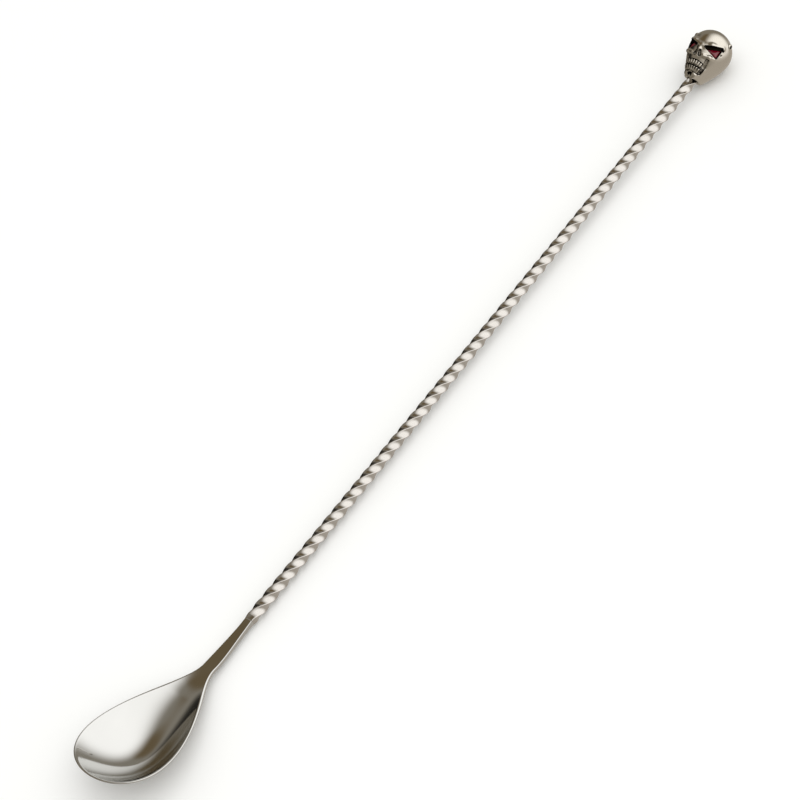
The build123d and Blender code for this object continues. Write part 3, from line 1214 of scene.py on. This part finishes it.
@dataclass
class Studio:
    """Pale floor, soft lights and the camera."""

    lens: float = 108.0
    distance: float = 762.7
    azimuth: float = -129.16
    elevation: float = 50.23
    roll: float = -18.0
    aim_x: float = -8.3
    aim_y: float = 11.1
    room_colour: str = "#8C867B"
    backdrop: str = "#F1F1EF"
    floor_colour: str = "#F4F4F3"
    floor_roughness: float = 0.9
    floor_specular: float = 0.1
    floor_reach: float = 6.0
    key_place: Point = (0.1, -0.4, 2.2)
    key_width: float = 3.0
    key_height: float = 2.8
    key_power: float = 20.0
    patches: tuple[Patch, ...] = (
        Patch("#2A2824", 1.0, 85.0, -3.0, 0.76, 1.0),
        Patch("#6E6049", 1.0, 52.0, 51.0, 0.86, 0.995),
        Patch("#BBB5AC", 1.0, -60.0, -50.0, 0.3, 0.8),
        Patch("#FFFEFC", 1.35, -50.0, 36.0, 0.3, 0.95),
    )

    def build_camera(self) -> None:
        """Make the camera and make it the scene's camera."""
        data = bpy.data.cameras.new("camera")
        data.lens = self.lens
        data.clip_start, data.clip_end = 0.01, 20.0
        camera = bpy.data.objects.new("camera", data)
        bpy.context.scene.collection.objects.link(camera)
        azimuth, elevation = math.radians(self.azimuth), math.radians(self.elevation)
        level = math.cos(elevation)
        back = Vector((level * math.cos(azimuth), level * math.sin(azimuth), math.sin(elevation)))
        aim = Vector((self.aim_x, self.aim_y, 0.0)) * MM
        rolled = Matrix.Rotation(math.radians(self.roll), 3, "Z")
        facing = back.to_track_quat("Z", "Y").to_matrix() @ rolled
        camera.matrix_world = Matrix.Translation(aim + back * self.distance * MM) @ facing.to_4x4()
        bpy.context.scene.camera = camera

    def build_floor(self) -> None:
        """Make the floor."""
        mesh = bpy.data.meshes.new("floor")
        reach = self.floor_reach
        corners = [(-reach, -reach, 0), (reach, -reach, 0), (reach, reach, 0), (-reach, reach, 0)]
        mesh.from_pydata(corners, [], [(0, 1, 2, 3)])
        floor = bpy.data.objects.new("floor", mesh)
        bpy.context.scene.collection.objects.link(floor)
        material, tree, shader = start_material("floor_matt_white_board")
        set_inputs(tree, shader, {
            "Base Color": linear(self.floor_colour),
            "Roughness": self.floor_roughness,
            "Specular IOR Level": self.floor_specular,
        })
        mesh.materials.append(material)
        floor.visible_glossy = False

    def build_world(self) -> None:
        """Make the room: smooth pale and dark areas for the metal to reflect, and a plain backdrop."""
        world = bpy.data.worlds.new("studio")
        world.use_nodes = True
        tree = world.node_tree
        direction = add_node(tree, "ShaderNodeTexCoord").outputs["Generated"]
        colour: bpy.types.NodeSocket | tuple[float, ...] = linear(self.room_colour)
        for patch in self.patches:
            pair = {0: direction, 1: patch.toward()}
            facing = add_node(tree, "ShaderNodeVectorMath", pair, operation="DOT_PRODUCT")
            share = add_node(
                tree, "ShaderNodeMapRange",
                {"Value": facing.outputs["Value"], "From Min": patch.edge, "From Max": patch.core},
                interpolation_type="SMOOTHERSTEP",
            )
            glow = tuple(c * patch.strength for c in linear(patch.colour)[:3]) + (1.0,)
            colour = add_blend(tree, share.outputs["Result"], colour, glow)
        path = add_node(tree, "ShaderNodeLightPath")
        # the camera and matt surfaces see the plain backdrop, only reflections see the room
        rays = {0: path.outputs["Is Camera Ray"], 1: path.outputs["Is Diffuse Ray"]}
        plain = add_node(tree, "ShaderNodeMath", rays, operation="MAXIMUM").outputs[0]
        seen = add_blend(tree, plain, colour, linear(self.backdrop))
        set_inputs(tree, tree.nodes["Background"], {"Color": seen})
        bpy.context.scene.world = world

    def build_key(self) -> None:
        """Make the key light: a soft box above the spoon."""
        data = bpy.data.lights.new("key", "AREA")
        data.shape = "RECTANGLE"
        data.size, data.size_y = self.key_width, self.key_height
        data.energy = self.key_power
        light = bpy.data.objects.new("key", data)
        light.location = self.key_place
        light.rotation_euler = Vector(self.key_place).to_track_quat("Z", "Y").to_euler()
        light.visible_camera = False
        light.visible_glossy = False
        bpy.context.scene.collection.objects.link(light)

    def build(self) -> None:
        """Make the whole studio."""
        self.build_camera()
        self.build_floor()
        self.build_world()
        self.build_key()
        bpy.context.scene.view_settings.view_transform = "Standard"


def dress(piece: bpy.types.Object, material: bpy.types.Material, slot: str, *nodes: str) -> None:
    """Give a piece its finish and its body, and hide the CAD nodes that it stands for."""
    piece.data.materials.clear()
    piece.data.materials.append(material)
    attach(piece, ROOT_BODY)
    if nodes:
        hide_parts(*nodes)
    log.info("%s: %d faces", piece.name, len(piece.data.polygons))


def main() -> None:
    """Build the studio and the spoon."""
    logging.basicConfig(level=logging.INFO, format="%(name)s: %(message)s")
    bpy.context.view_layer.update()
    Studio().build()
    bowl = Bowl()
    bar = TwistedBar()
    place = BarFrame.from_cad(bowl.weld_length)
    dress(bowl.build(place), BOWL_STEEL.build(), "bowl_steel", "bowl")
    dress(bar.build_weld(bowl, place), WELD_STEEL.build(), "weld_steel", "neck_weld")
    dress(bar.build(place), BAR_STEEL.build(), "shaft_steel", "twisted_shaft")
    skull = Skull()
    casting = AntiquedCasting().build()
    glass = RedGlass().build()
    dress(skull.build(place), casting, "antiqued_casting", "skull_finial")
    dress(skull.build_stone(-1, "eye_stone_left", place), glass, "red_glass", "left_eye_stone")
    dress(skull.build_stone(1, "eye_stone_right", place), glass, "red_glass", "right_eye_stone")
    epoxy = Epoxy().build()
    for node in ("tenon_adhesive", "left_eye_cement", "right_eye_cement"):
        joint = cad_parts[node]
        joint.data.materials.clear()
        joint.data.materials.append(epoxy)


if __name__ == "__main__":
    main()
